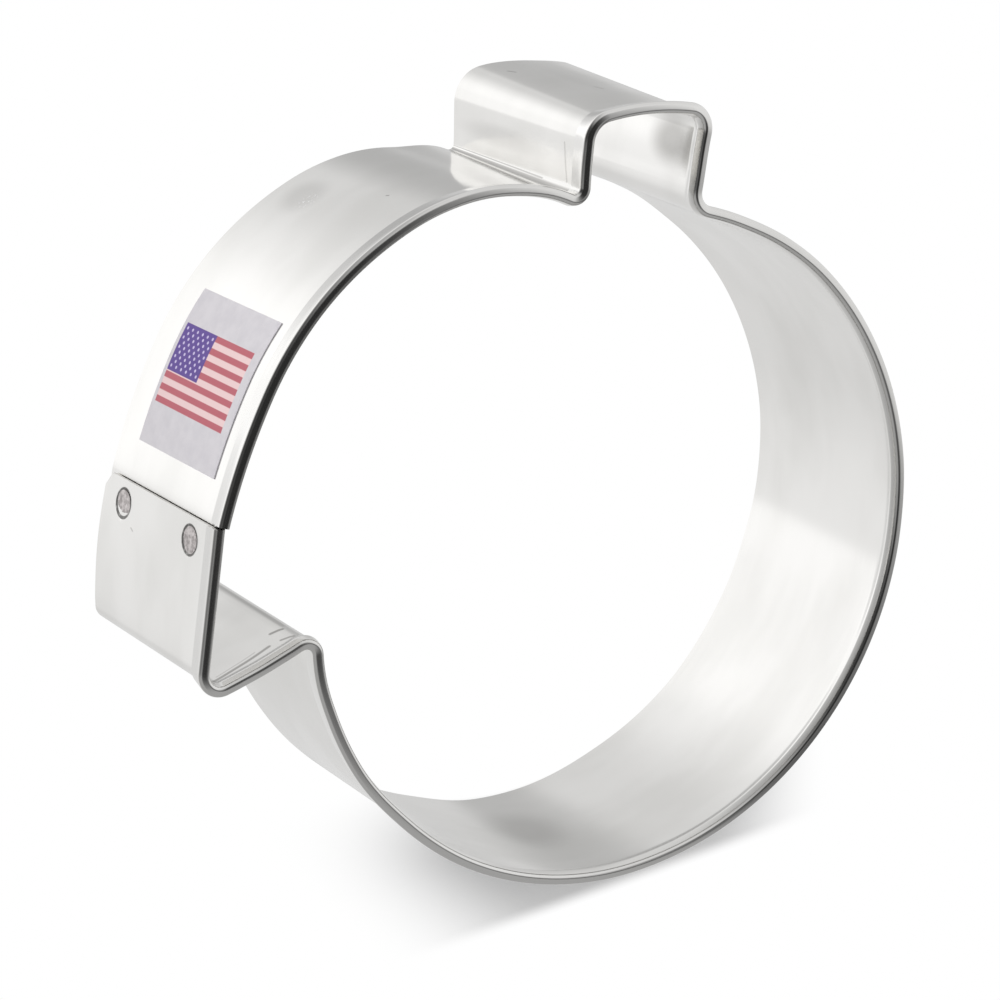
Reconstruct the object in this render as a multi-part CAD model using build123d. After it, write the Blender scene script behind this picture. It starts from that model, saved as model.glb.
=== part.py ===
from build123d import *
import math
import os

# Biscuit cutter in millimetres. One strip of tinplate stands on its thin cutting edge at z = 0,
# its rolled safety rim is on top, and the dough is cut to the outline of its inner face.
# The strip's two ends lap on the left wall, where two spot welds join them. A label is stuck above.

# Strip
sheet = 0.3
band_depth = 25.4

# Safety rim: the top of the strip leans out a little, rolls outwards into a bead and folds down as a lap
bead_radius = 0.69
bead_offset = 0.45
flare_depth = 1.9
lap_depth = 2.8
lap_gap = 0.05

# Round body and its ridge, seen from above, about the centre of the round body
body_radius = 36.4
ridge_angle = 192.4
ridge_radius = 2.05

# Tab at the top of the outline
tab_right = 2.5
tab_width = 12.9
tab_flare = 0.45
tab_right_rise = 10.05
tab_left_rise = 8.9
crown_radius = 30.0
tab_base_left_radius = 1.75
tab_top_left_radius = 2.15
tab_top_right_radius = 1.85
tab_base_right_radius = 2.65

# Left shoulder: three arcs from the seam up to the tab, each with its turn in degrees
side_radius = 69.0
side_turn = 11.4
shoulder_radius = 34.8
shoulder_turn = 40.7
crest_radius = 21.0

# Seam on the left wall, where the strip bends a little, and the heel below it
seam_reach = 47.8
seam_height = 2.0
lower_wall_lean = 1.3
upper_wall_lean = 7.3
kink_radius = 2.4
heel_drop = 14.75
heel_radius = 1.55
ledge_radius = 36.0

# Lapped ends: the lower end lies outside, the upper end goes on behind it as a tongue with no rim
layer_gap = 0.05
tongue_length = 8.5
tongue_clearance = 0.3
tongue_corner = 1.5
end_corner = 2.5

# Spot welds through both layers
weld_radius = 1.5
weld_dent = 0.06
weld_drop = 2.45
weld_from_edge = 4.4
weld_from_rim = 6.5

# Label on the outer face, glued on above the seam
label_start = 3.9
label_length = 17.0
label_from_edge = 4.1
label_from_rim = 4.9
label_thickness = 0.1
glue_gap = 0.02

# Overrun of cutting tools
overrun = 1.0


def heading(degrees):
    """Unit vector of a direction in the outline's plane."""
    angle = math.radians(degrees)
    return Vector(math.cos(angle), math.sin(angle))


def seam_point():
    """Where the lower end of the strip stops, on the inner face of the tongue."""
    return Vector(-seam_reach, seam_height)


def lower_end_point():
    """The same place on the inner face of the lower end, one layer further out."""
    outward = heading(180 + lower_wall_lean)
    return seam_point() + outward * (sheet + layer_gap)


def kink_arc():
    """Small bend of the strip just above the seam."""
    turn = lower_wall_lean + upper_wall_lean
    return JernArc(seam_point(), heading(90 + lower_wall_lean), kink_radius, -turn)


def left_arcs():
    """Side, shoulder and crest arcs, from the seam to the tab's left wall."""
    kink = kink_arc()
    side = JernArc(kink @ 1, kink % 1, side_radius, -side_turn)
    shoulder = JernArc(side @ 1, side % 1, shoulder_radius, -shoulder_turn)
    start, along = shoulder @ 1, shoulder % 1
    start_angle = math.degrees(math.atan2(along.Y, along.X)) + 90
    centre_x = start.X - crest_radius * math.cos(math.radians(start_angle))
    end_angle = math.degrees(math.acos((tab_base_left() - centre_x) / crest_radius))
    crest = JernArc(start, along, crest_radius, end_angle - start_angle)
    return side, shoulder, crest


def tab_base_left():
    return tab_right - tab_width


def tab_corners():
    """Sharp top corners of the tab, left then right, each by its rise above the foot of its wall."""
    left_foot = left_arcs()[-1] @ 1
    right_foot = round_body_point(tab_right)
    left = left_foot + Vector(-tab_flare, tab_left_rise)
    right = right_foot + Vector(0, tab_right_rise)
    return left, right


def round_body_point(x):
    """Point of the round body's upper half at a given x."""
    return Vector(x, math.sqrt(body_radius ** 2 - x ** 2))


def heel_corner():
    """Sharp corner where the lower wall's inner face meets the ledge."""
    top = lower_end_point()
    fall = top.Y + heel_drop
    return Vector(top.X + fall * math.tan(math.radians(lower_wall_lean)), -heel_drop)


def outline():
    """Inner face seen from above, clockwise from just above the seam round to the lower end."""
    side, shoulder, crest = left_arcs()
    tab_left_corner, tab_right_corner = tab_corners()
    tab_foot = round_body_point(tab_right)
    foot_angle = math.degrees(math.atan2(tab_foot.Y, tab_foot.X))
    ridge = heading(ridge_angle) * body_radius
    heel = heel_corner()
    runs = [
        side,
        shoulder,
        crest,
        Line(crest @ 1, tab_left_corner),
        RadiusArc(tab_left_corner, tab_right_corner, crown_radius),
        Line(tab_right_corner, tab_foot),
        CenterArc((0, 0), body_radius, foot_angle, ridge_angle - 360 - foot_angle),
        RadiusArc(ridge, heel, ledge_radius),
        Line(heel, lower_end_point()),
    ]
    bends = [
        (crest @ 1, tab_base_left_radius),
        (tab_left_corner, tab_top_left_radius),
        (tab_right_corner, tab_top_right_radius),
        (tab_foot, tab_base_right_radius),
        (ridge, ridge_radius),
        (heel, heel_radius),
    ]
    wire = Wire([run.edge() for run in runs])
    for corner, radius in bends:
        wire = wire.fillet_2d(radius, [wire.vertices().sort_by_distance(corner)[0]])
    return wire


def section_plane(path):
    """Plane across the strip at the path's start: x points outwards and y points up."""
    along = path % 0
    return Plane(origin=path @ 0, x_dir=Vector(-along.Y, along.X), z_dir=along)


def tangent_point(point, side):
    """Where a line from the point touches the bead's circle, on its left (1) or right (-1)."""
    centre = Vector(bead_offset, band_depth - bead_radius)
    to_centre = centre - point
    angle = math.atan2(to_centre.Y, to_centre.X) + side * math.asin(bead_radius / to_centre.length)
    reach = math.sqrt(to_centre.length ** 2 - bead_radius ** 2)
    return point + Vector(math.cos(angle), math.sin(angle)) * reach


def rim_section():
    """Section of the strip with its rolled rim, one sheet thick all along."""
    foot = Vector(0, 0)
    flare = Vector(0, band_depth - flare_depth)
    lap_end = Vector(2 * sheet + lap_gap, band_depth - lap_depth)
    inner_touch = tangent_point(flare, 1)
    outer_touch = tangent_point(lap_end, -1)
    skin = Wire([
        Edge.make_line(foot, flare),
        Edge.make_line(flare, inner_touch),
        Edge.make_three_point_arc(inner_touch, Vector(bead_offset, band_depth), outer_touch),
        Edge.make_line(outer_touch, lap_end),
    ])
    return Face(skin.offset_2d(sheet, kind=Kind.INTERSECTION, side=Side.RIGHT))


def strip_section(inner, thickness, low, high):
    """Plain rectangular section that starts at a distance out from the inner face."""
    return Pos(inner + thickness / 2, (low + high) / 2) * Rectangle(thickness, high - low)


def rounded_across(part, point, radius):
    """Round the short edge of the sheet that lies nearest to a point."""
    edge = part.edges().sort_by_distance(point)[0]
    return fillet(edge, radius)


def tongue():
    """The upper end's tongue, which passes behind the lower end."""
    kink = kink_arc()
    down = heading(lower_wall_lean - 90)
    foot = seam_point() + down * tongue_length
    path = Wire([Edge.make_line(foot, seam_point()), kink.edge()])
    top = band_depth - flare_depth - tongue_clearance
    solid = sweep(section_plane(path) * strip_section(0, sheet, 0, top), path)
    outward = heading(180 + lower_wall_lean)
    for height in (0, top):
        middle = foot + outward * (sheet / 2) + Vector(0, 0, height)
        solid = rounded_across(solid, middle, tongue_corner)
    return solid


def weld_places():
    """Planes on the middle of the two layers at each weld, with z pointing out of the wall."""
    outward = heading(180 + lower_wall_lean)
    middle = seam_point() + outward * (sheet + layer_gap / 2)
    foot = middle + heading(lower_wall_lean - 90) * weld_drop
    return [
        Plane(origin=foot + Vector(0, 0, height), z_dir=outward)
        for height in (weld_from_edge, band_depth - weld_from_rim)
    ]


def formed_band(path):
    """The whole strip, with its rim, its lapped ends and the holes that the welds fill."""
    strip = sweep(section_plane(path) * rim_section(), path)
    outward = heading(180 + lower_wall_lean)
    strip = rounded_across(strip, lower_end_point() + outward * (sheet / 2), end_corner)
    strip = strip + tongue()
    for place in weld_places():
        strip -= place * Cylinder(weld_radius, 2 * sheet + layer_gap + 2 * overrun)
    return strip


def spot_weld(place):
    """Nugget that fuses the two layers, dented a little on both faces."""
    return place * Cylinder(weld_radius, 2 * sheet + layer_gap - 2 * weld_dent)


def label():
    """Thin rectangular label, bent to the outer face of the wall."""
    side, shoulder, crest = left_arcs()
    path = Wire([side.edge(), shoulder.edge()])
    span = path.trim(label_start / path.length, (label_start + label_length) / path.length)
    top = band_depth - label_from_rim
    shape = strip_section(sheet + glue_gap, label_thickness, label_from_edge, top)
    return sweep(section_plane(span) * shape, span)


def main():
    """Build every piece about the round body's centre, then centre the band's box on the origin."""
    os.makedirs("parts", exist_ok=True)
    band = formed_band(outline())
    edge_weld, rim_weld = [spot_weld(place) for place in weld_places()]
    pieces = {
        "formed_band": band,
        "spot_weld_edge_side": edge_weld,
        "spot_weld_rim_side": rim_weld,
        "label": label(),
    }
    middle = band.bounding_box().center()
    print("middle of the band's box from the round body's centre", middle.X, middle.Y)
    for name, piece in pieces.items():
        export_step(Pos(-middle.X, -middle.Y) * piece, f"parts/{name}.step")


main()
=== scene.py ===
# %% [markdown]
# # A biscuit cutter bent from tinplate
#
# The cutter is one long strip of tin-plated steel. It stands on a thin cutting edge, and its upper edge is
# rolled over into a rim that is kind to the hand. The strip's ends lap on the left wall under two spot
# welds, and a small label is stuck on beside them. This lesson makes the strip, the welds and the label as
# surfaces worked out with numpy, and then gives each one its finish.
#
# The CAD model is loaded first. It fixes the size and the place of everything here, in metres. Its box
# is printed, and its height gives the band's depth.

import bmesh
import bpy
import numpy as np
from mathutils import Matrix, Vector


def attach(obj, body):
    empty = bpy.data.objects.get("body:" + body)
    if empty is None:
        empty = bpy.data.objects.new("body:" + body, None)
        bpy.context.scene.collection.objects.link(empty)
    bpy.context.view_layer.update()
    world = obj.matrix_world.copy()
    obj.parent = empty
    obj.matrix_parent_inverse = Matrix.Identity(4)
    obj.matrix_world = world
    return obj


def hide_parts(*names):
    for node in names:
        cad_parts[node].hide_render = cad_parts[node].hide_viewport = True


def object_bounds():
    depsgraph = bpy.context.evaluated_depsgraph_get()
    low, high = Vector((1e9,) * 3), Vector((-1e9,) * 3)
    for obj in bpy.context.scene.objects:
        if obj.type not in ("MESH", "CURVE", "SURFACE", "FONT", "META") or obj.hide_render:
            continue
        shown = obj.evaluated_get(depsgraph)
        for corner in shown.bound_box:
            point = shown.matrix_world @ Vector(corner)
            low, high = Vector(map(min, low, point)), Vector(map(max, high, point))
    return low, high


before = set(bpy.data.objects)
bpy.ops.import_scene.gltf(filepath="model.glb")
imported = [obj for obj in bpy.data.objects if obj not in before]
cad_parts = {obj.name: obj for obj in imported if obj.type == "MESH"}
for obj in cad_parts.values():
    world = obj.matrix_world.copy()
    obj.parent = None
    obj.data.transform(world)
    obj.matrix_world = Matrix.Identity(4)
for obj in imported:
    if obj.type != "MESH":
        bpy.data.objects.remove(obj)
cad_low, cad_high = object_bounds()
print("CAD box in mm", [round(1000 * side, 2) for side in cad_high - cad_low])

# %% [markdown]
# ## Sizes
#
# The driving sizes are in millimetres and degrees, and are those of the real strip: its sheet, its depth,
# the rolled rim, and then the runs and bends of the outline, seen from above about the centre of the round
# body. The strip is followed clockwise, so the outside of the cutter is always on the left of the way.

# %% Sizes of the strip and its outline
MM = 0.001
SHEET = 0.3
BAND_DEPTH = 1000 * (cad_high.z - cad_low.z)

RIM_OFFSET = 0.44
RIM_HALF_WIDTH = 0.61
RIM_TILT = 13.4
RIM_CORNER = 0.44
FLARE_DEPTH = 1.9
FLARE_BEND = 1.2
FLARE_TOP_BEND = 0.6
LAP_DEPTH = 2.8
LAP_GAP = 0.05

# Where the middle of the CAD box lies from the centre of the round body
BOX_MIDDLE = (-5.876, 5.049)

BODY_RADIUS = 36.4
RIDGE_ANGLE = 192.4
RIDGE_RADIUS = 2.05

TAB_RIGHT = 2.5
TAB_WIDTH = 12.9
TAB_FLARE = 0.45
TAB_RIGHT_RISE = 10.05
TAB_LEFT_RISE = 8.9
CROWN_RADIUS = 30.0
TAB_BASE_LEFT_RADIUS = 1.75
TAB_TOP_LEFT_RADIUS = 2.15
TAB_TOP_RIGHT_RADIUS = 1.85
TAB_BASE_RIGHT_RADIUS = 2.65

SIDE_RADIUS, SIDE_TURN = 69.0, 11.4
SHOULDER_RADIUS, SHOULDER_TURN = 34.8, 40.7
CREST_RADIUS = 21.0

SEAM_REACH, SEAM_HEIGHT = 47.8, 2.0
LOWER_WALL_LEAN, UPPER_WALL_LEAN = 1.3, 7.3
KINK_RADIUS = 2.4
HEEL_DROP = 14.75
HEEL_RADIUS = 1.55
LEDGE_RADIUS = 36.0

LAYER_GAP = 0.05
TONGUE_LENGTH = 8.5
TONGUE_CLEARANCE = 0.3
TONGUE_CORNER = 1.5
END_CORNER = 1.5

WELD_RADIUS = 1.5
WELD_DROP = 2.45
WELD_HEIGHTS = (4.4, BAND_DEPTH - 6.5)

LABEL_START, LABEL_LENGTH = 3.9, 17.0
LABEL_LOW, LABEL_HIGH = 4.1, BAND_DEPTH - 4.9
LABEL_THICKNESS = 0.1
GLUE_GAP = 0.02

# %% [markdown]
# ## Runs, arcs and rounded corners
#
# A bent strip is straight stretches and arcs. Complex numbers keep that short: a point is x + iy, a
# direction is a number of length one, and a left turn by a right angle is a multiplication by i. One class
# holds a stretch of any curvature, and the same formula gives points of a line and of an arc, so there is
# no special case.
#
# Where two runs meet in a corner, the sheet is bent round a small radius. The bend's centre lies that
# radius away from both runs, on the inside of the turn, and a few Newton steps find it.

# %% Runs and corners
NEWTON_STEPS = 30


def heading(degrees):
    """Direction at an angle from the x axis, as a complex number of length one."""
    return np.exp(1j * np.radians(degrees))


class Run:
    """A stretch of one curvature k: p(s) = start + direction s exp(i k s / 2) sin(k s / 2) / (k s / 2)."""

    def __init__(self, start, direction, length, curvature=0.0):
        self.start, self.direction = complex(start), complex(direction)
        self.length, self.curvature = float(length), float(curvature)

    def point(self, distance):
        half = self.curvature * distance / 2
        return self.start + self.direction * distance * np.exp(1j * half) * np.sinc(half / np.pi)

    def way(self, distance):
        return self.direction * np.exp(1j * self.curvature * distance)

    def end(self):
        return self.point(self.length)

    def left_of(self, point):
        """How far a point lies left of the run's whole line or circle, and which way left is there."""
        if self.curvature == 0:
            return ((point - self.start) / self.direction).imag, 1j * self.direction
        radius = 1 / self.curvature
        spoke = point - self.start - 1j * self.direction * radius
        turn = np.sign(radius)
        return radius - turn * abs(spoke), -turn * spoke / abs(spoke)

    def between(self, first, last):
        """The part of the run from one of its points to another."""
        direction = self.left_of(first)[1] / 1j
        if self.curvature == 0:
            return Run(first, direction, abs(last - first))
        centre = first + 1j * direction / self.curvature
        swept = np.angle((last - centre) / (first - centre)) * np.sign(self.curvature)
        return Run(first, direction, (swept % (2 * np.pi)) / abs(self.curvature), self.curvature)


def line(first, last):
    return Run(first, (last - first) / abs(last - first), abs(last - first))


def bulge(first, last, radius):
    """Arc of a radius from one point to another, turning right."""
    chord = last - first
    half_turn = np.arcsin(abs(chord) / 2 / radius)
    direction = chord / abs(chord) * np.exp(1j * half_turn)
    return Run(first, direction, 2 * half_turn * radius, -1 / radius)


def onward(run, radius, degrees):
    """Arc that goes on from a run's end, turning right."""
    return Run(run.end(), run.way(run.length), radius * np.radians(degrees), -1 / radius)


def corner_arc(before, after, radius):
    """Arc that rounds the corner between two runs, from its touching point on one to that on the other."""
    centre = before.end()
    side = np.sign((after.direction / before.way(before.length)).imag)
    for _ in range(NEWTON_STEPS):
        gap_before, left_before = before.left_of(centre)
        gap_after, left_after = after.left_of(centre)
        lefts = [[left_before.real, left_before.imag], [left_after.real, left_after.imag]]
        step = np.linalg.solve(lefts, [side * radius - gap_before, side * radius - gap_after])
        centre += complex(*step)
    first = centre - left_before * side * radius
    last = centre - left_after * side * radius
    return Run(first, left_before / 1j, 1.0, side / radius).between(first, last)


def joined(runs, radii):
    """The runs in order, with an arc of its radius at each corner, or none where that radius is zero."""
    arcs = [corner_arc(a, b, r) if r else None for a, b, r in zip(runs, runs[1:], radii)]
    pieces = []
    for run, arc_before, arc_after in zip(runs, [None] + arcs, arcs + [None]):
        first = arc_before.end() if arc_before else run.start
        last = arc_after.start if arc_after else run.end()
        pieces.append(run.between(first, last))
        if arc_after:
            pieces.append(arc_after)
    return pieces


class Path:
    """Runs laid end to end, read at any distance along them."""

    def __init__(self, runs):
        self.runs = runs
        self.stops = np.concatenate([[0], np.cumsum([run.length for run in runs])])
        self.length = self.stops[-1]
        self.values = np.array([[r.start, r.direction, r.curvature] for r in runs])

    def at(self, distance):
        """Points and directions at an array of distances."""
        index = np.clip(np.searchsorted(self.stops, distance, side="right") - 1, 0, len(self.runs) - 1)
        start, direction, curvature = np.moveaxis(self.values[index], -1, 0)
        local = distance - self.stops[index]
        half = curvature.real * local / 2
        point = start + direction * local * np.exp(1j * half) * np.sinc(half / np.pi)
        return point, direction * np.exp(2j * half)

    def stations(self, longest, angle):
        """Distances for a smooth surface: steps no longer than a length, and no sharper than an angle."""
        parts = []
        for run, start in zip(self.runs, self.stops):
            steps = max(run.length / longest, abs(run.curvature) * run.length / np.radians(angle))
            parts.append(start + np.linspace(0, run.length, int(np.ceil(steps)) + 1)[:-1])
        return np.append(np.concatenate(parts), self.length)

# %% [markdown]
# ## The outline
#
# The outline starts at the foot of the tongue, the end of the strip that goes on behind the seam. It passes
# the seam, climbs the left side in three arcs, goes up and over the tab, round the body, in along the
# ledge, round the heel and up the lower wall to the seam again, one layer further out. On the real cutter
# each bend was pushed round a form by hand, which is why no two radii are alike.

# %% Outline of the inner face
def outline():
    """Path of the strip's inner face seen from above, and the distance at which the rim starts."""
    down = heading(LOWER_WALL_LEAN - 90)
    outward = heading(180 + LOWER_WALL_LEAN)
    seam = complex(-SEAM_REACH, SEAM_HEIGHT)
    lower_end = seam + outward * (SHEET + LAYER_GAP)

    tongue = Run(seam + down * TONGUE_LENGTH, -down, TONGUE_LENGTH)
    kink = onward(tongue, KINK_RADIUS, LOWER_WALL_LEAN + UPPER_WALL_LEAN)
    side = onward(kink, SIDE_RADIUS, SIDE_TURN)
    shoulder = onward(side, SHOULDER_RADIUS, SHOULDER_TURN)
    from_centre = 1j * shoulder.way(shoulder.length)
    centre_x = (shoulder.end() - from_centre * CREST_RADIUS).real
    last_angle = np.degrees(np.arccos((TAB_RIGHT - TAB_WIDTH - centre_x) / CREST_RADIUS))
    crest = onward(shoulder, CREST_RADIUS, np.degrees(np.angle(from_centre)) - last_angle)

    tab_left = crest.end() + complex(-TAB_FLARE, TAB_LEFT_RISE)
    tab_foot = complex(TAB_RIGHT, np.sqrt(BODY_RADIUS ** 2 - TAB_RIGHT ** 2))
    tab_right = tab_foot + 1j * TAB_RIGHT_RISE
    ridge = BODY_RADIUS * heading(RIDGE_ANGLE)
    fall = lower_end.imag + HEEL_DROP
    heel = complex(lower_end.real + fall * np.tan(np.radians(LOWER_WALL_LEAN)), -HEEL_DROP)

    body = Run(tab_foot, -1j * tab_foot / BODY_RADIUS, 1.0, -1 / BODY_RADIUS).between(tab_foot, ridge)
    runs = [
        tongue,
        kink,
        side,
        shoulder,
        crest,
        line(crest.end(), tab_left),
        bulge(tab_left, tab_right, CROWN_RADIUS),
        line(tab_right, tab_foot),
        body,
        bulge(ridge, heel, LEDGE_RADIUS),
        line(heel, lower_end),
    ]
    radii = [0, 0, 0, 0, TAB_BASE_LEFT_RADIUS, TAB_TOP_LEFT_RADIUS, TAB_TOP_RIGHT_RADIUS]
    radii += [TAB_BASE_RIGHT_RADIUS, RIDGE_RADIUS, HEEL_RADIUS]
    path = Path(joined(runs, radii))
    return path, tongue.length + kink.length


foot_path, rim_start = outline()
print("length of the strip's inner face in mm", round(foot_path.length - rim_start, 2))

# %% [markdown]
# ## The section
#
# Cut across, the strip is a long straight wall that swells inwards a little near the top, rolls over into a
# hollow bead and folds down outside as a lap. The roller pressed the bead a little square, and its top
# slopes outwards. The same runs and corners draw it, now with x as the distance out from the inner face and
# y as the height. The other side of the sheet is this line moved one sheet thickness to its right.

# %% Section of the strip
def section():
    """Path of the section's inner side: up the wall, round the bead and down to the lap's end.

    The bead is a square with rounded corners, turned by a tilt.
    """
    tilt = heading(-RIM_TILT)
    flat = RIM_HALF_WIDTH - RIM_CORNER
    top_reach = flat * (tilt.real - tilt.imag) + RIM_CORNER
    centre = complex(RIM_OFFSET, BAND_DEPTH - top_reach)
    square = (-1 - 1j, -1 + 1j, 1 + 1j)
    low_inner, top_inner, top_outer = [centre + tilt * RIM_HALF_WIDTH * corner for corner in square]
    flare = complex(0, BAND_DEPTH - FLARE_DEPTH)
    lap_end = complex(2 * SHEET + LAP_GAP, BAND_DEPTH - LAP_DEPTH)
    corners = [0j, flare, low_inner, top_inner, top_outer, lap_end]
    runs = [line(first, last) for first, last in zip(corners, corners[1:])]
    return Path(joined(runs, [FLARE_BEND, FLARE_TOP_BEND, RIM_CORNER, RIM_CORNER]))


section_path = section()
print("width of the flat strip in mm", round(section_path.length, 2))

# %% [markdown]
# ## A sheet with two sides
#
# A surface is a grid of stations along the strip and rows up the section. The sheet has an inner and an
# outer side on the same grid, and a mask says which cells exist: the tongue has no rim, so its upper cells
# are missing. Wherever a cell has no neighbour, a narrow face closes the sheet from one side to the other.
# That gives one closed skin with no loop over its points.

# %% Grid to closed sheet
def sheet_faces(cells):
    """Faces of a closed sheet over the True cells of a mask, as rows of four numbers of points.

    The two sides come first, and then the narrow faces of the cut edges. Points are numbered by side (inner,
    outer), station and row.
    """
    stations, rows = cells.shape[0] + 1, cells.shape[1] + 1
    inner, outer = np.arange(2 * stations * rows).reshape(2, stations, rows)
    wide = np.pad(cells, 1)
    here = wide[1:-1, 1:-1]
    faces = []

    def add(where, *corners):
        i, j = np.nonzero(where)
        faces.append(np.stack([side[i + di, j + dj] for side, di, dj in corners], axis=-1))

    add(here, (inner, 0, 0), (inner, 1, 0), (inner, 1, 1), (inner, 0, 1))
    add(here, (outer, 0, 0), (outer, 0, 1), (outer, 1, 1), (outer, 1, 0))
    add(here & ~wide[:-2, 1:-1], (inner, 0, 0), (inner, 0, 1), (outer, 0, 1), (outer, 0, 0))
    add(here & ~wide[2:, 1:-1], (inner, 1, 0), (outer, 1, 0), (outer, 1, 1), (inner, 1, 1))
    add(here & ~wide[1:-1, :-2], (inner, 0, 0), (outer, 0, 0), (outer, 1, 0), (inner, 1, 0))
    add(here & ~wide[1:-1, 2:], (inner, 0, 1), (inner, 1, 1), (outer, 1, 1), (outer, 0, 1))
    return np.concatenate(faces)


def make_piece(name, points, faces, flat=None, sharp_angle=35.0):
    """Object from points in mm and faces. flat is each point's place on the unrolled sheet, in mm."""
    used, faces = np.unique(faces, return_inverse=True)
    faces = faces.reshape(-1, 4)
    mesh = bpy.data.meshes.new(name)
    mesh.from_pydata(points[used] * MM, [], faces)
    mesh.polygons.foreach_set("use_smooth", np.ones(len(mesh.polygons), bool))
    if flat is not None:
        corners = np.zeros(len(mesh.loops), np.int32)
        mesh.loops.foreach_get("vertex_index", corners)
        layer = mesh.uv_layers.new(name="flat")
        layer.data.foreach_set("uv", flat[used][corners].astype(np.float32).ravel())
        outside = mesh.attributes.new("outside", "FLOAT", "POINT")
        outside.data.foreach_set("value", (used >= len(points) // 2).astype(np.float32))
    mesh.set_sharp_from_angle(angle=np.radians(sharp_angle))
    mesh.validate()
    piece = bpy.data.objects.new(name, mesh)
    bpy.context.scene.collection.objects.link(piece)
    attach(piece, "root")
    print(name, "has", len(mesh.polygons), "faces")
    return piece

# %% [markdown]
# ## How the real strip strays from the drawing
#
# A strip bent by hand isn't a perfect prism. Towards the cutting edge the tab opens by about a millimetre,
# while the right wall and the ledge close by less. The lower wall bows a little, and all of the sheet has
# faint waves that show as soft streaks in its reflections. These small moves go in or out along the wall's
# own normal, so each is a number for every station and row.

# %% Small moves of the wall
WALL_BOW = 0.43
WAVE_HEIGHT = 0.006

# Stretches outside the drawing: reach, first, last and soft, in mm along the strip from the rim's start
DRIFTS = [
    (-0.1, -6, 54, 6),
    (-0.12, 22, 54, 14),
    (-0.1, 36, 55, 6),
    (0.2, 56, 82, 6),
    (-0.14, 84, 100, 6),
    (0.12, 98, 139, 8),
    (0.08, 186, 222, 10),
    (0.3, 222, 248, 9),
    (0.12, 238, 248, 5),
    (-0.15, 248, 259, 4),
]
# The same for moves that are whole at the cutting edge and fade to nothing under the rim
OPENINGS = [
    (0.8, 49, 92, 7),
    (0.45, 59, 74, 7),
    (0.1, 68, 84, 5),
    (-0.35, 92, 190, 12),
    (-0.2, 96, 154, 8),
    (-0.3, 140, 168, 12),
    (-0.45, 196, 251, 9),
    (-0.4, 222, 251, 9),
    (-0.3, 247, 262, 4),
]
# Waves in the sheet: share, millimetres for each radian, phase, and radians for each millimetre up the wall
WAVES = [(1.0, 3.1, 0, 0), (0.7, 5.3, 2, 0), (0.5, 1.9, 0, 1 / 9)]


def bump(distance, first, last, soft):
    """One between two distances, zero outside them, with a smooth step of the given length at each end."""
    rise = np.clip((distance - first) / soft, 0, 1)
    fall = np.clip((last - distance) / soft, 0, 1)
    smooth = np.minimum(rise, fall)
    return smooth * smooth * (3 - 2 * smooth)


def summed(moves, place):
    """Sum of the bumps of a table, each times its reach."""
    return sum(reach * bump(place, first, last, soft) for reach, first, last, soft in moves)


wall_first, wall_last = foot_path.stops[-2], foot_path.length


def wall_move(distance, height):
    """How far the wall lies outside the drawing, in mm: drift + opening b + bow b + wave sqrt(b).

    b falls from one at the cutting edge to zero under the rim. The bow is half a sine over the lower wall.
    """
    below = np.clip(1 - height / (BAND_DEPTH - LAP_DEPTH), 0, 1)
    place = distance - rim_start
    along = np.clip((distance - wall_first) / (wall_last - wall_first), 0, 1)
    bow = WALL_BOW * np.sin(np.pi * along) * (distance > wall_first)
    leaning = (summed(OPENINGS, place) + bow) * below
    wave = 0
    for share, length, phase, lean in WAVES:
        wave = wave + share * np.sin(distance / length + phase + lean * height)
    return summed(DRIFTS, place) + leaning + WAVE_HEIGHT * wave * np.sqrt(below)

# %% [markdown]
# ## Spot welds
#
# A spot weld is two electrodes pressing the layers together while a current melts them at the touch. What
# shows is a shallow round dent with a ring where the electrode's edge stood, and a mottled, slightly raised
# middle. The dent is pressed into the strip's own grid, which is made finer there, and the mottled middle
# is a small disc of its own.

# %% Dents in the strip
DENT_DEPTH = 0.09
RING_WIDTH = 0.176
weld_stations = (foot_path.length - WELD_DROP, TONGUE_LENGTH - WELD_DROP)


def dent(distance, height):
    """Depth of the dent under the electrodes: flat out to the ring, then a smooth rise to nothing."""
    depth = np.zeros(np.broadcast(distance, height).shape)
    for station in weld_stations:
        for weld_height in WELD_HEIGHTS:
            reach = np.hypot(distance - station, height - weld_height)
            edge = np.clip((WELD_RADIUS + RING_WIDTH / 2 - reach) / RING_WIDTH, 0, 1)
            depth = np.maximum(depth, DENT_DEPTH * edge * edge * (3 - 2 * edge))
    return depth

# %% [markdown]
# ## The strip
#
# Now the section is carried along the outline. The steps are long on the flat stretches and short in the
# bends, at the welds and at the two ends, whose corners are rounded by moving the points of the last few
# millimetres along the strip. The rim reaches on a little past the seam, up to the other end's rim, and its
# hollow bead stays open there.

# %% The strip's grid
LONGEST_STEP = 0.8
LONGEST_ROW = 1.1
BEND_STEP = 7.0
ROLL_STEP = 11.0
FINE_STEP = 0.2
END_REACH = 4.0
RIM_REACH = 0.32
RIM_REACH_BEND = 0.4
TONGUE_TOP = BAND_DEPTH - FLARE_DEPTH - TONGUE_CLEARANCE


def with_fine_steps(coarse, places, reach):
    """Distances with extra fine steps around some places, and without pairs that lie almost together."""
    fine = [np.arange(place - reach, place + reach, FINE_STEP) for place in places]
    merged = np.sort(np.concatenate([coarse] + fine))
    merged = merged[(merged >= coarse[0]) & (merged <= coarse[-1])]
    kept = np.isin(merged, coarse)
    near = np.min(np.abs(merged[:, None] - coarse[None, :]), axis=1) < FINE_STEP / 3
    return merged[kept | ~near]


def corner_cut(height, radius):
    """How far a rounded corner of a radius holds the end back, at a height above that corner."""
    inside = np.clip(radius - height, 0, radius)
    return radius - np.sqrt(radius ** 2 - inside ** 2)


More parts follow.
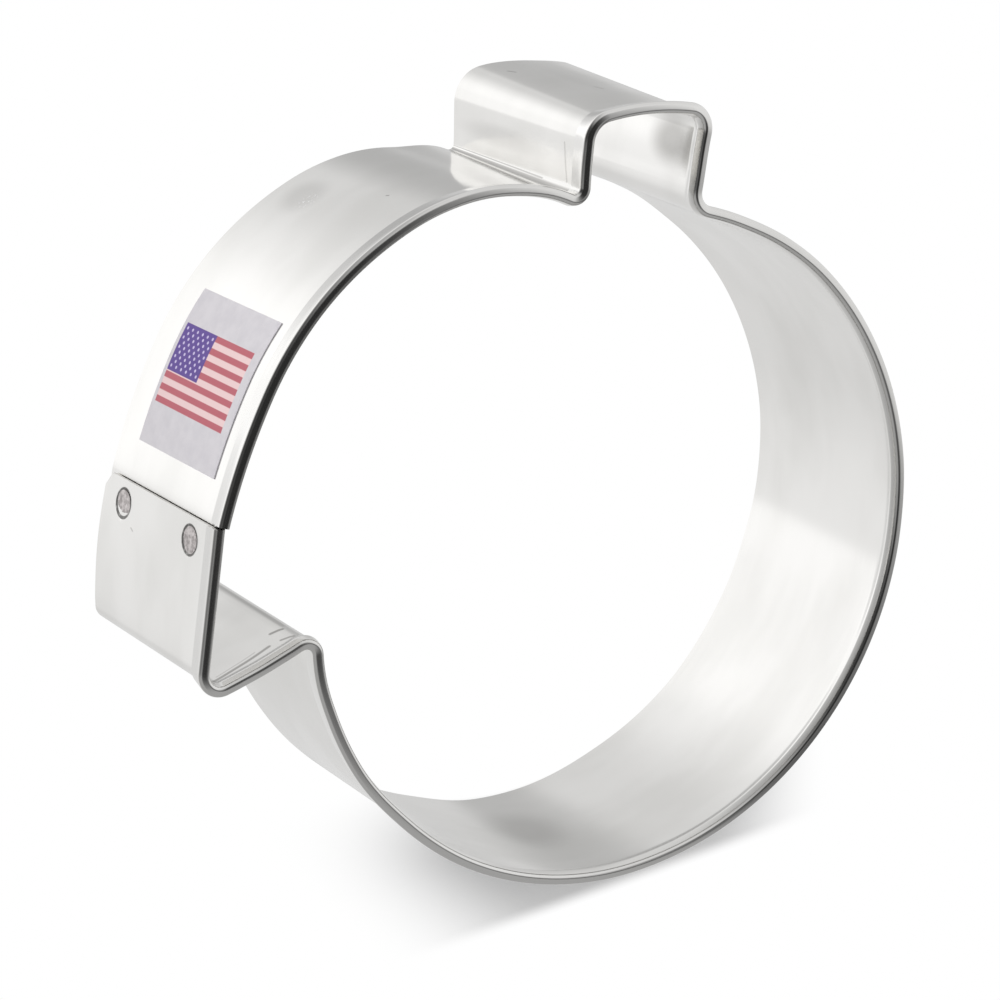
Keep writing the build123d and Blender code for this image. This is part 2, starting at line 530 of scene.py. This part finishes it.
fine_reach = WELD_RADIUS + RING_WIDTH
stations = with_fine_steps(foot_path.stations(LONGEST_STEP, BEND_STEP), weld_stations, fine_reach)
coarse_rows = np.sort(np.append(section_path.stations(LONGEST_ROW, ROLL_STEP), TONGUE_TOP))
rows = with_fine_steps(coarse_rows, WELD_HEIGHTS, fine_reach)
top_row = int(np.argmin(np.abs(rows - TONGUE_TOP)))
rim_station = int(np.argmin(np.abs(stations - rim_start)))

skin, skin_way = section_path.at(rows)
back = skin - 1j * skin_way * SHEET
height = skin.imag[None, :]
end_share = np.clip((stations - foot_path.length + END_REACH) / END_REACH, 0, 1)[:, None]
tongue_share = np.clip((END_REACH - stations) / END_REACH, 0, 1)[:, None]
from_top = np.clip(TONGUE_TOP - height, 0, None)
tongue_cut = corner_cut(height, TONGUE_CORNER) + corner_cut(from_top, TONGUE_CORNER)
rim_reach = RIM_REACH * np.clip((height - TONGUE_TOP) / RIM_REACH_BEND, 0, 1)
end_moves = end_share * (rim_reach - corner_cut(height, END_CORNER)) + tongue_share * tongue_cut
distance = stations[:, None] + end_moves


def place_on_strip(distance, out, height):
    """Points in mm at a distance along the strip, a distance out from its inner face, and a height."""
    point, way = foot_path.at(distance)
    point = point + 1j * way * (out + wall_move(distance, height))
    return np.stack([point.real, point.imag, np.broadcast_to(height, point.shape)], axis=-1)


in_tongue = (stations < rim_start)[:, None]
pressed = dent(distance, height)
inner_side = place_on_strip(distance, skin.real + pressed * in_tongue, skin.imag + 0 * distance)
outer_side = place_on_strip(distance, back.real - pressed * ~in_tongue, back.imag + 0 * distance)

cells = np.ones((len(stations) - 1, len(rows) - 1), bool)
cells[:rim_station, top_row:] = False
strip_points = np.stack([inner_side, outer_side]).reshape(-1, 3)
strip_faces = sheet_faces(cells)

to_frame = -np.array([*BOX_MIDDLE, 0.0])
unrolled = np.stack(np.broadcast_arrays(distance, rows[None, :]), axis=-1)
strip_flat = np.stack([unrolled, unrolled]).reshape(-1, 2)
strip = make_piece("strip", strip_points + to_frame, strip_faces, strip_flat)
cut_faces = np.arange(len(strip_faces)) >= 2 * np.count_nonzero(cells)
strip.data.polygons.foreach_set("material_index", cut_faces.astype(np.int32))
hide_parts("formed_band")

# %% [markdown]
# ## The welds' discs
#
# Each disc is the metal that melted: a lens through both layers, a little below the faces around it, with a
# lumpy top. Its profile is carried round its axis, with the lumps as a sum of waves that differ from weld
# to weld.

# %% Weld discs
WELD_SINK = 0.035
CAP_BEND, CAP_HEIGHT = 0.25, 0.25
LUMP_HEIGHT = 0.02
# Waves whose sum is the lumps: share, and radians for each millimetre across and up
LUMP_WAVES = [(1.0, 5.1, 4.3), (0.6, 9.7, 8.9)]
DISC_TURNS = 48
DISC_RINGS = 12


def weld_disc(name, weld_height, seed):
    """Closed lens: a profile of radius and depth, turned about the weld's axis, with lumps on both faces."""
    share = np.linspace(0, 1, DISC_RINGS)
    disc_radius = WELD_RADIUS - RING_WIDTH / 2
    crown = np.sqrt(1 - CAP_BEND * share ** 2) - np.sqrt(1 - CAP_BEND)
    face = LAYER_GAP / 2 + SHEET - WELD_SINK - LUMP_HEIGHT + CAP_HEIGHT * crown
    radius = disc_radius * np.concatenate([share, share[::-1]])[:, None]
    depth = np.concatenate([face, -face[::-1]])[:, None]
    around = np.linspace(0, 2 * np.pi, DISC_TURNS, endpoint=False)[None, :]
    across, up = radius * np.cos(around), radius * np.sin(around)
    phases = np.random.default_rng(seed).uniform(0, 2 * np.pi, 4).reshape(2, 2)
    lumps = sum(share * np.sin(wide * across + first) * np.sin(tall * up + second)
                for (share, wide, tall), (first, second) in zip(LUMP_WAVES, phases))
    depth = depth + np.sign(depth) * LUMP_HEIGHT * lumps * (1 - (radius / disc_radius) ** 2)
    station = foot_path.length - WELD_DROP
    middle, way = foot_path.at(np.array([station]))
    outward = 1j * way[0]
    middle = middle[0] - outward * LAYER_GAP / 2 + outward * wall_move(station, weld_height)
    spot = middle + outward * depth + way[0] * across
    points = np.stack([spot.real, spot.imag, weld_height + up], axis=-1)
    count = points.shape[0]
    i, j = np.meshgrid(np.arange(count - 1), np.arange(DISC_TURNS), indexing="ij")
    after = (j + 1) % DISC_TURNS
    ring, next_ring = i * DISC_TURNS, (i + 1) * DISC_TURNS
    faces = np.stack([ring + j, ring + after, next_ring + after, next_ring + j], axis=-1)
    piece = make_piece(name, points.reshape(-1, 3) + to_frame, faces.reshape(-1, 4))
    close_poles(piece)
    return piece


def close_poles(piece):
    """Merges the points that lie together at a lens's two middles and turns all faces outwards."""
    shell = bmesh.new()
    shell.from_mesh(piece.data)
    bmesh.ops.remove_doubles(shell, verts=shell.verts, dist=1e-7)
    bmesh.ops.recalc_face_normals(shell, faces=shell.faces)
    shell.to_mesh(piece.data)
    shell.free()


weld_names = ("spot_weld_edge_side", "spot_weld_rim_side")
welds = []
for number, (cad_name, weld_height) in enumerate(zip(weld_names, WELD_HEIGHTS)):
    disc = weld_disc(cad_name.replace("spot_weld", "weld_disc"), weld_height, seed=number + 3)
    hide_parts(cad_name)
    welds.append(disc)

# %% [markdown]
# ## The label
#
# The label is a thin film pressed on the outside of the wall, so it takes the wall's curve and its small
# waves. It is the same closed sheet as the strip, on a grid of its own, and its UV map is its own flat
# print in millimetres.

# %% Label
LABEL_STEP = 0.45


def label_piece():
    """Film over a stretch of the wall, between two distances out from the wall's inner face."""
    first = rim_start + LABEL_START
    along = np.arange(0, LABEL_LENGTH + LABEL_STEP / 2, LABEL_STEP)
    along *= LABEL_LENGTH / along[-1]
    up = np.linspace(LABEL_LOW, LABEL_HIGH, int((LABEL_HIGH - LABEL_LOW) / LABEL_STEP) + 1)
    distance, height = np.meshgrid(first + along, up, indexing="ij")
    under = place_on_strip(distance, SHEET + GLUE_GAP, height)
    over = place_on_strip(distance, SHEET + GLUE_GAP + LABEL_THICKNESS, height)
    points = np.stack([under, over]).reshape(-1, 3) + to_frame
    flat = np.stack([height - LABEL_LOW, distance - first], axis=-1)
    faces = sheet_faces(np.ones((len(along) - 1, len(up) - 1), bool))
    piece = make_piece("label_film", points, faces, np.stack([flat, flat]).reshape(-1, 2))
    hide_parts("label")
    return piece


label = label_piece()

# %% [markdown]
# ## Writing materials as formulas
#
# A finish is a formula over the surface, so it reads best as one. A small class wraps the output of a node,
# and its operators add Math nodes, so that 1 - mask is a value that changes over the surface. Every other
# node comes from one method, which sets the node's own settings first and then gives its sockets values or
# links.

# %% Shader kit
class Value:
    """What one node gives. Arithmetic on it adds Math nodes to the same tree."""

    def __init__(self, tree, socket):
        self.tree, self.socket = tree, socket

    def other(self, name):
        """Another output of the same node."""
        return Value(self.tree, self.socket.node.outputs[name])

    def __add__(self, number):
        return self.tree.math("ADD", self, number)

    def __sub__(self, number):
        return self.tree.math("SUBTRACT", self, number)

    def __rsub__(self, number):
        return self.tree.math("SUBTRACT", number, self)

    def __mul__(self, number):
        return self.tree.math("MULTIPLY", self, number)

    def __truediv__(self, number):
        return self.tree.math("DIVIDE", self, number)

    __radd__ = __add__
    __rmul__ = __mul__


class Tree:
    """The nodes of one material or of the world."""

    def __init__(self, owner):
        owner.use_nodes = True
        self.tree = owner.node_tree
        self.tree.nodes.clear()

    def node(self, kind, settings=None, sockets=None, output=0):
        """Adds a node: its settings first, then a number, a colour or a link for each socket."""
        made = self.tree.nodes.new("ShaderNode" + kind)
        for name, setting in (settings or {}).items():
            setattr(made, name, setting)
        for name, value in (sockets or {}).items():
            if isinstance(value, Value):
                self.tree.links.new(value.socket, made.inputs[name])
            else:
                made.inputs[name].default_value = value
        return Value(self, made.outputs[output]) if made.outputs else None

    def math(self, operation, *values):
        return self.node("Math", {"operation": operation}, dict(enumerate(values)))

    def vector(self, operation, *values, output="Vector"):
        return self.node("VectorMath", {"operation": operation}, dict(enumerate(values)), output)

    def step(self, value, low, high):
        """Smooth step from zero at low to one at high."""
        return self.node("MapRange", {"interpolation_type": "SMOOTHSTEP"}, {0: value, 1: low, 2: high})

    def band(self, value, low, high, soft):
        """One between two values, with a smooth step of a given width at each."""
        rise = self.step(value, low - soft / 2, low + soft / 2)
        return rise - self.step(value, high - soft / 2, high + soft / 2)

    def mix(self, factor, first, second):
        """Colour that goes from the first to the second."""
        return self.node("Mix", {"data_type": "RGBA"}, {0: factor, 6: first, 7: second}, output=2)

    def noise(self, where, scale, detail=2.0, roughness=0.5):
        sockets = {"Vector": where, "Scale": scale, "Detail": detail, "Roughness": roughness}
        return self.node("TexNoise", {}, sockets)

    def parts(self, vector):
        """The x, y and z of a vector, as three values."""
        x = self.node("SeparateXYZ", {}, {0: vector})
        return x, x.other("Y"), x.other("Z")

    def beside(self, where, first, last):
        """Distance from a straight stroke between two points."""
        first, last = np.array([*first, 0.0]), np.array([*last, 0.0])
        stroke = last - first
        start = self.vector("SUBTRACT", where, tuple(first.tolist()))
        per_length = tuple((stroke / (stroke @ stroke)).tolist())
        share = self.node("Clamp", {}, {0: self.vector("DOT_PRODUCT", start, per_length, output="Value")})
        shares = self.node("CombineXYZ", {}, {0: share, 1: share})
        nearest = self.vector("MULTIPLY", shares, tuple(stroke.tolist()))
        return self.vector("DISTANCE", start, nearest, output="Value")

    def stretched(self, where, factors):
        return self.vector("MULTIPLY", where, factors)


def colour(red, green, blue):
    """Colour from its written values out of 255, as the linear numbers that a socket takes."""
    written = np.array([red, green, blue]) / 255
    linear = np.where(written <= 0.04045, written / 12.92, ((written + 0.055) / 1.055) ** 2.4)
    return (*linear.tolist(), 1.0)


def dress(piece, *materials):
    """Gives a piece its materials, in the order of its faces' material numbers."""
    for material in materials:
        piece.data.materials.append(material)

# %% [markdown]
# ## Tinplate
#
# Tinplate is steel under a thin layer of bright tin. It came off a rolling mill, so it has a faint grain
# along the strip, and then hands and tools gave it soft clouds, a few pin scratches and a scuffed patch.
# Some darker strokes and patches in its colour are painted reflections and painted shade: along the bend
# at the tab's foot, on the tab and inside it, low on the inner wall and along two creases on the ledge. A
# painted shadow runs under the lap's lower edge. All of it is drawn on the strip's own flat map, where x
# is the distance along the strip and y the way up its section, both in mm.

# %% Tinplate
TIN = colour(243, 242, 240)
TIN_DULL = colour(226, 225, 222)
TIN_MARKED_AND_SHADED = colour(150, 148, 145)
# Dark steel where the welds burnt the tin; the same colour paints the shadow under the lap
BURNT_AND_SHADOW = colour(70, 68, 66)
CUT_STEEL = colour(205, 203, 200)
SCUFFED = colour(255, 255, 255)
CLOUD_SHARE, LAP_SHARE, BURNT_SHARE = 0.5, 0.45, 0.8
GRAIN_HEIGHT, CROSS_HEIGHT = 0.0005, 0.0018

# Scales of the noise along the strip and up it: clouds, grain along the strip and faint streaks across
CLOUD_SCALE, GRAIN_SCALE, CROSS_SCALE = (0.05, 0.09, 1), (0.09, 5.0, 1), (0.9, 0.03, 1)

# Strokes on the outside: from, to, half width, strength. Distances along the strip are from the rim's start.
STROKES = [
    # This stroke and the next two are a painted dark reflection along the bend at the tab's foot
    ((57.5, 0.0), (57.7, 23.0), 0.42, 0.65),
    ((58.5, 0.0), (58.3, 17.0), 0.12, 0.5),
    ((56.5, 6.0), (56.8, 22.0), 0.1, 0.4),
    ((62.9, 20.4), (59.0, 21.3), 0.12, 0.3),
    ((67.7, 3.7), (68.1, 4.6), 0.1, 0.6),
    ((72.2, 13.5), (72.5, 14.5), 0.15, 0.3),
    ((39.2, 15.6), (39.3, 15.8), 0.12, 0.6),
    ((270.9, 6.7), (270.7, 7.1), 0.1, 0.4),
]
# Strokes on the inside, on the ledge
INSIDE_STROKES = [
    # This stroke and the next are painted shade along two creases under the rim
    ((258.9, 23.2), (251.0, 22.4), 0.2, 0.75),
    ((257.5, 22.5), (252.5, 21.9), 0.08, 0.35),
    ((249.6, 20.4), (248.4, 20.8), 0.2, 0.8),
    ((249.6, 22.6), (248.4, 23.2), 0.16, 0.7),
    ((247.6, 4.0), (247.9, 20.0), 0.25, 0.25),
]
# Soft patches: middle, reach along the strip and up it, strength
PATCHES = [
    ((35.0, 5.0), (3.2, 3.6), 0.22),
    # This patch and the next are painted dark reflections on the tab
    ((61.4, 9.0), (1.5, 9.0), 0.2),
    ((73.2, 9.0), (2.6, 12.0), 0.15),
]
INSIDE_PATCHES = [
    # A painted dark reflection inside the tab
    ((81.1, 19.6), (3.0, 4.6), 0.6),
    ((249.6, 12.5), (2.4, 4.2), 0.08),
    # A painted dark reflection low on the inner wall
    ((196.0, 11.5), (5.5, 7.0), 0.3),
]
# A patch of fine pale specks: middle, and reach along the strip and up it
SCUFF = ((34.6, 6.6), (1.6, 1.5))


def tinplate():
    """Bright tin: mirror-like metal, its colour mixed layer over layer by masks on the strip's flat map."""
    material = bpy.data.materials.new("bright_tinplate")
    t = Tree(material)
    flat = t.node("UVMap", {"uv_map": "flat"})
    _, up, _ = t.parts(flat)
    outside = t.node("Attribute", {"attribute_name": "outside"}, {}, "Fac")

    clouds = t.noise(t.stretched(flat, CLOUD_SCALE), 1.0, 3.0)
    grain = t.noise(t.stretched(flat, GRAIN_SCALE), 1.0, 2.0)
    cross = t.noise(t.stretched(flat, CROSS_SCALE), 1.0, 1.0)
    specks = t.noise(flat, 3.4, 2.0)
    cloud = t.step(clouds, 0.35, 0.7)

    def at_rim(place):
        return (place[0] + rim_start, place[1])

    def drawn(strokes, patches):
        """Sum of the strokes and the soft patches of one side."""
        total = 0
        for first, last, reach, strength in strokes:
            near = t.beside(flat, at_rim(first), at_rim(last))
            total = strength * (1 - t.step(near, reach * 0.5, reach * 1.6)) + total
        for middle, reach, strength in patches:
            total = strength * within(middle, reach) + total
        return total

    def within(middle, reach):
        """Soft ellipse, one in its middle, with an uneven edge."""
        start = t.vector("SUBTRACT", flat, (*at_rim(middle), 0.0))
        away = t.vector("LENGTH", t.stretched(start, (1 / reach[0], 1 / reach[1], 0)), output="Value")
        return 1 - t.step(away + 0.5 * clouds, 0.55, 1.35)

    # Real marks together with the painted reflections and painted shade of the tables above, each on its
    # side
    marks_and_painted_shade = outside * drawn(STROKES, PATCHES) + (1 - outside) * drawn(INSIDE_STROKES, INSIDE_PATCHES)
    # A painted shadow: a dark line on the outside of the wall just under the lap's lower edge
    lap_end = BAND_DEPTH - LAP_DEPTH
    lap_shade = outside * t.band(up, lap_end - 0.2, lap_end + 0.25, 0.12)
    scuffed = outside * within(*SCUFF) * t.step(specks, 0.58, 0.64)

    ring = 0
    for station in weld_stations:
        for weld_height in WELD_HEIGHTS:
            reach = t.vector("DISTANCE", flat, (float(station), weld_height, 0), output="Value")
            ring = t.band(reach, WELD_RADIUS - RING_WIDTH, WELD_RADIUS + RING_WIDTH, 0.12) + ring
    burnt = ring * (0.7 + 0.3 * t.step(t.noise(flat, 1.4), 0.3, 0.5))

    base = t.mix(CLOUD_SHARE * cloud, TIN, TIN_DULL)
    base = t.mix(marks_and_painted_shade, base, TIN_MARKED_AND_SHADED)
    base = t.mix(LAP_SHARE * lap_shade, base, BURNT_AND_SHADOW)
    base = t.mix(BURNT_SHARE * burnt, base, BURNT_AND_SHADOW)
    base = t.mix(scuffed, base, SCUFFED)
    rough = 0.12 + 0.04 * cloud + 0.04 * t.step(grain, 0.4, 0.7) + 0.35 * burnt + 0.25 * scuffed
    height = GRAIN_HEIGHT * grain + CROSS_HEIGHT * cross
    normal = t.node("Bump", {}, {"Strength": 0.35, "Distance": 0.001, "Height": height})
    sockets = {"Base Color": base, "Metallic": 1.0, "Roughness": rough, "Normal": normal}
    metal = t.node("BsdfPrincipled", {}, sockets)
    t.node("OutputMaterial", {}, {"Surface": metal})
    return material


def cut_edge():
    """Bare steel of the sheet's cut edges, which the shears left duller than the tin."""
    material = bpy.data.materials.new("cut_steel_edge")
    t = Tree(material)
    metal = t.node("BsdfPrincipled", {}, {"Base Color": CUT_STEEL, "Metallic": 1.0, "Roughness": 0.35})
    t.node("OutputMaterial", {}, {"Surface": metal})
    return material


dress(strip, tinplate(), cut_edge())

# %% [markdown]
# ## Weld steel
#
# In a weld the tin has burnt away and the steel shows, grey, lumpy and duller than the tin around it.

# %% Weld steel
WELD_DARK, WELD_PALE = colour(168, 162, 161), colour(232, 226, 225)


def weld_steel():
    """Dull mottled steel, with the mottle in its colour, its roughness and a small bump."""
    material = bpy.data.materials.new("weld_steel")
    t = Tree(material)
    where = t.stretched(t.node("TexCoord", {}, output="Object"), (1 / MM, 1 / MM, 1 / MM))
    mottle = t.noise(where, 1.6, 4.0, 0.6)
    base = t.mix(t.step(mottle, 0.35, 0.65), WELD_DARK, WELD_PALE)
    rough = 0.3 + 0.25 * mottle
    normal = t.node("Bump", {}, {"Strength": 0.5, "Distance": 0.001, "Height": 0.05 * mottle})
    sockets = {"Base Color": base, "Metallic": 1.0, "Roughness": rough, "Normal": normal}
    metal = t.node("BsdfPrincipled", {}, sockets)
    t.node("OutputMaterial", {}, {"Surface": metal})
    return material


weld_finish = weld_steel()
for disc in welds:
    dress(disc, weld_finish)

# %% [markdown]
# ## Printed label
#
# The label is thin film with a pale lilac ground. Its print is a small field of red and pale bars with a
# blue block of pale dots in its upper left corner, and the ground above and below it is bare. The bars come
# from the y of the label's flat map, by a value that goes up and down once for each pair of bars.

# %% Label film
BAR = 0.669
FIELD_LOW = (0.6, 4.4)
FIELD_HIGH = (15.0, FIELD_LOW[1] + 13 * BAR)
BLOCK_RIGHT, BLOCK_LOW = 7.1, FIELD_LOW[1] + 5.2 * BAR
DOT_STEP = (1.08, 1.04)
DOT_RADIUS = 0.17
DOT_MARGIN = 0.3
SOFT = 0.06
GROUND, GROUND_GRIMY = colour(207, 204, 208), colour(199, 196, 201)
PALE_BAR, RED_BAR = colour(228, 198, 198), colour(180, 90, 102)
BLUE_BLOCK, PALE_DOT = colour(86, 60, 142), colour(196, 184, 220)


def film():
    """Printed film, drawn on the label's flat map: x is across the strip and y along it, both in mm."""
    material = bpy.data.materials.new("printed_film")
    t = Tree(material)
    flat = t.node("UVMap", {"uv_map": "flat"})
    across, up, _ = t.parts(flat)

    def box(left, right, low, high):
        """One inside a rectangle of the print, with soft edges."""
        return t.band(across, left, right, SOFT) * t.band(up, low, high, SOFT)

    left, low = FIELD_LOW
    right, high = FIELD_HIGH
    swing = t.math("PINGPONG", (up - low) / BAR + 0.5, 1.0)
    red_bar = t.step(swing, 0.5 - SOFT, 0.5 + SOFT)

    dots = 0
    for shift in (0.0, 0.5):
        places = []
        for value, first, step in ((across, left, DOT_STEP[0]), (up, BLOCK_LOW, DOT_STEP[1])):
            turn = (value - first) / step + shift
            places.append((t.math("FRACT", turn) - 0.5) * step)
        reach = t.math("SQRT", places[0] * places[0] + places[1] * places[1])
        dots = 1 - t.step(reach, DOT_RADIUS - SOFT / 2, DOT_RADIUS + SOFT / 2) + dots
    margin = DOT_MARGIN
    dots = dots * box(left + margin, BLOCK_RIGHT - margin, BLOCK_LOW + margin, high - margin)

    grime = t.noise(flat, 0.5, 4.0, 0.6)
    ground = t.mix(t.step(grime, 0.3, 0.7), GROUND, GROUND_GRIMY)
    bars = t.mix(red_bar, PALE_BAR, RED_BAR)
    corner = t.mix(dots, BLUE_BLOCK, PALE_DOT)
    print_tint = t.mix(box(left, BLOCK_RIGHT, BLOCK_LOW, high), bars, corner)
    base = t.mix(box(left, right, low, high), ground, print_tint)
    normal = t.node("Bump", {}, {"Strength": 0.2, "Distance": 0.001, "Height": 0.02 * grime})
    sockets = {"Base Color": base, "Roughness": 0.42 + 0.1 * grime, "Normal": normal}
    paint = t.node("BsdfPrincipled", {}, sockets)
    t.node("OutputMaterial", {}, {"Surface": paint})
    return material


dress(label, film())

# %% [markdown]
# ## The floor
#
# The floor is a plain white sheet at the height of the cutting edge. To the camera most of it glows at full
# white. Only in a wedge beside the cutter's lower right, where the photograph has its shadow, does the
# camera see the white sheet as the lamp lights it, with the cutter's own soft shadow. The wedge is a mask
# in the floor's coordinates. Bright metal would show this sheet and nothing else in its walls, so glossy
# rays pass through the floor and see the studio around it instead.

# %% Floor
FLOOR_SIZE = 3.0
WHITE = (1.0, 1.0, 1.0, 1.0)

# The wedge. Its straight outer edge runs along one direction, and its left end fades along another. Each
# pair is where one of its sides begins and ends to fade, in metres along the direction across that side.
EDGE_ALONG = (0.9654, 0.2607, 0.0)
EDGE_ACROSS = (-0.2607, 0.9654, 0.0)
LEFT_FADE = (0.61, 0.79, 0.0)
WEDGE_EDGE, WEDGE_TOP = (-0.0599, -0.0577), (-0.05, -0.036)
WEDGE_LEFT, WEDGE_RIGHT = (-0.048, -0.0305), (0.029, 0.047)


def floor_finish():
    """White sheet that glows to the camera outside the wedge, and that glossy rays don't see."""
    material = bpy.data.materials.new("white_floor")
    t = Tree(material)
    ray = t.node("LightPath")
    glow = t.node("Emission", {}, {"Color": WHITE, "Strength": 1.0})
    lit = t.node("BsdfDiffuse", {}, {"Color": WHITE})
    where = t.node("TexCoord", {}, output="Object")

    def beyond(direction, fade):
        """Zero before and one beyond a line across a direction, with a soft step between two distances."""
        return t.step(t.vector("DOT_PRODUCT", where, direction, output="Value"), *fade)

    reach = t.vector("DISTANCE", where, tuple((to_frame * MM).tolist()), output="Value")
    outside = t.step(reach, (BODY_RADIUS - SHEET) * MM, (BODY_RADIUS + SHEET) * MM)
    wedge = beyond(LEFT_FADE, WEDGE_LEFT) * (1 - beyond(EDGE_ALONG, WEDGE_RIGHT)) * outside
    wedge = wedge * beyond(EDGE_ACROSS, WEDGE_EDGE) * (1 - beyond(EDGE_ACROSS, WEDGE_TOP))
    seen = t.node("MixShader", {}, {0: 1 - wedge, 1: lit, 2: glow})
    plain = t.node("MixShader", {}, {0: ray.other("Is Camera Ray"), 1: lit, 2: seen})
    clear = t.node("BsdfTransparent")
    whole = t.node("MixShader", {}, {0: ray.other("Is Glossy Ray"), 1: plain, 2: clear})
    t.node("OutputMaterial", {}, {"Surface": whole})
    return material


floor_mesh = bpy.data.meshes.new("floor")
half = FLOOR_SIZE / 2
floor_corners = [(-half, -half, 0), (half, -half, 0), (half, half, 0), (-half, half, 0)]
floor_mesh.from_pydata(floor_corners, [], [(0, 1, 2, 3)])
floor = bpy.data.objects.new("floor", floor_mesh)
bpy.context.scene.collection.objects.link(floor)
dress(floor, floor_finish())

# %% [markdown]
# ## The studio
#
# Bright metal shows the room more than itself, so the room is designed like a finish. It is a formula over
# the direction from which light comes: a broad soft panel low on the left, whose one edge is crisp, a mid
# grey round the sides, a dim place low on the right, and a dark ceiling that comes down on the side where
# the camera stands. The camera sees white, and everything that isn't shiny is lit by an even white.
#
# Heights in the room are given as the sine of the angle up, so -1 is straight below and 0 is level.

# %% World
FILL = 0.52
DARKEST = 0.02
FLOOR_TONE, WALL_TONE = 0.72, 0.35
FLOOR_TO_WALL = (-0.75, -0.35)
CEILING = (0.72, 0.98)

# Soft lights and darks of the room's lower and upper part: tone, azimuth, and reach to either side
FLOOR_TONES = [(-0.21, 41, 29), (-0.08, 3, 15)]
WALL_TONES = [(0.24, 16, 48), (0.2, 48, 78), (0.15, 75, 35), (-0.3, 340, 20)]
# The dim place low on the right: share, azimuth, elevation, and reach of its edge and its core in degrees
DIM_SHARE, DIM_PLACE = 0.13, (30, -71, 22, 4)
# The panel: tone, azimuth, reach, the azimuth across which its edge is crisp, and its tone past that edge
PANEL_TONE, PANEL_PLACE, CRISP_AZIMUTH, PAST_CRISP = 0.4, (168, 86), 101.6, 0.45
PANEL_FADE, CRISP_STEP = (-0.85, -0.2), (-0.05, 0.05)
# A little more light low on the panel, and the dark on the camera's side: tone, place, heights of the fade
GLEAM_TONE, GLEAM_PLACE, GLEAM_FADE = 0.05, (140, 24), (-0.8, -0.6)
DARK_TONE, DARK_PLACE, DARK_FADE = -0.32, (165, 50), (-0.4, 0.05)


def towards(azimuth, elevation=0.0):
    """Direction as three numbers, from its angle round from the x axis and its angle up, in degrees."""
    a, e = np.radians(azimuth), np.radians(elevation)
    return (float(np.cos(e) * np.cos(a)), float(np.cos(e) * np.sin(a)), float(np.sin(e)))


def cosine(degrees):
    return float(np.cos(np.radians(degrees)))


def studio(t, direction):
    """Brightness of the room in a direction."""
    level = t.vector("NORMALIZE", t.stretched(direction, (1, 1, 0)))
    _, _, rise = t.parts(direction)

    def side(azimuth, reach):
        """One towards an azimuth and zero from some degrees to its left and right on, at any height."""
        near = t.vector("DOT_PRODUCT", level, towards(azimuth), output="Value")
        return t.step(near, cosine(reach), 1.0)

    def spot(azimuth, elevation, reach, core):
        """One within a cone of some degrees about a direction and zero outside a wider cone."""
        near = t.vector("DOT_PRODUCT", direction, towards(azimuth, elevation), output="Value")
        return t.step(near, cosine(reach), cosine(core))

    def toned(tone, places):
        """A tone with the soft lights and darks of a table."""
        return tone + sum(share * side(azimuth, reach) for share, azimuth, reach in places)

    past = t.vector("DOT_PRODUCT", level, towards(CRISP_AZIMUTH), output="Value")
    crisp = t.step(past, *CRISP_STEP)
    panel = side(*PANEL_PLACE) * (PAST_CRISP + (1 - PAST_CRISP) * crisp)
    low = toned(FLOOR_TONE, FLOOR_TONES) * (1 - DIM_SHARE * spot(*DIM_PLACE))
    high = toned(WALL_TONE, WALL_TONES)
    room = low + (high - low) * t.step(rise, *FLOOR_TO_WALL)
    room = room + PANEL_TONE * panel * (1 - t.step(rise, *PANEL_FADE))
    room = room + GLEAM_TONE * side(*GLEAM_PLACE) * (1 - t.step(rise, *GLEAM_FADE))
    room = room + DARK_TONE * side(*DARK_PLACE) * t.step(rise, *DARK_FADE)
    return t.math("MAXIMUM", room, DARKEST) * (1 - t.step(rise, *CEILING)) + DARKEST


def add_world():
    """White to the camera, the studio to glossy rays and an even fill to all others."""
    world = bpy.data.worlds.new("studio")
    bpy.context.scene.world = world
    t = Tree(world)
    ray = t.node("LightPath")
    direction = t.node("TexCoord", {}, {}, "Generated")
    camera = ray.other("Is Camera Ray")
    glossy = ray.other("Is Glossy Ray")
    strength = glossy * studio(t, direction) + (1 - glossy) * FILL
    strength = camera + (1 - camera) * strength
    light = t.node("Background", {}, {"Color": WHITE, "Strength": strength})
    t.node("OutputWorld", {}, {"Surface": light})


add_world()

# %% [markdown]
# ## One soft lamp
#
# One large soft lamp above gives the shadow on the floor. Its own image would be a hard white shape in the
# metal, so it is hidden from glossy rays.

# %% Lamp
LAMP_DISTANCE = 1.2
LAMP_SIZE = 0.5
LAMP_WATTS = 8.0
LAMP_AZIMUTH, LAMP_ELEVATION = 140, 46


def add_lamp():
    """Disc lamp that faces the cutter from above, on the camera's side."""
    lamp = bpy.data.objects.new("soft_lamp", bpy.data.lights.new("soft_lamp", "AREA"))
    lamp.data.shape = "DISK"
    lamp.data.size = LAMP_SIZE
    lamp.data.energy = LAMP_WATTS
    place = Vector(towards(LAMP_AZIMUTH, LAMP_ELEVATION)) * LAMP_DISTANCE
    lamp.location = place
    lamp.rotation_euler = place.to_track_quat("Z", "Y").to_euler()
    lamp.visible_glossy = False
    bpy.context.scene.collection.objects.link(lamp)


add_lamp()

# %% [markdown]
# ## The camera
#
# The camera stands where the photographer's stood, above the cutter's left side and rather far away, with a
# long lens.

# %% Camera
CAMERA_AT = Vector((-0.23022, 0.08655, 0.35275))
LOOK_ALONG = Vector((0.54455, -0.21357, -0.81108))
LENS, SENSOR = 140.81, 36


def add_camera():
    """Camera at the photograph's place, turned so that the x axis lies level in its picture."""
    away = -LOOK_ALONG.normalized()
    up = away.cross(Vector((1, 0, 0))).normalized()
    if up.y < 0:
        up = -up
    right = up.cross(away)
    turn = Matrix((right, up, away)).transposed().to_4x4()
    camera = bpy.data.objects.new("camera", bpy.data.cameras.new("camera"))
    camera.matrix_world = Matrix.Translation(CAMERA_AT) @ turn
    camera.data.lens = LENS
    camera.data.sensor_width = SENSOR
    camera.data.clip_start, camera.data.clip_end = 0.01, 20
    bpy.context.scene.collection.objects.link(camera)
    bpy.context.scene.camera = camera


add_camera()
bpy.context.scene.view_settings.view_transform = "Standard"
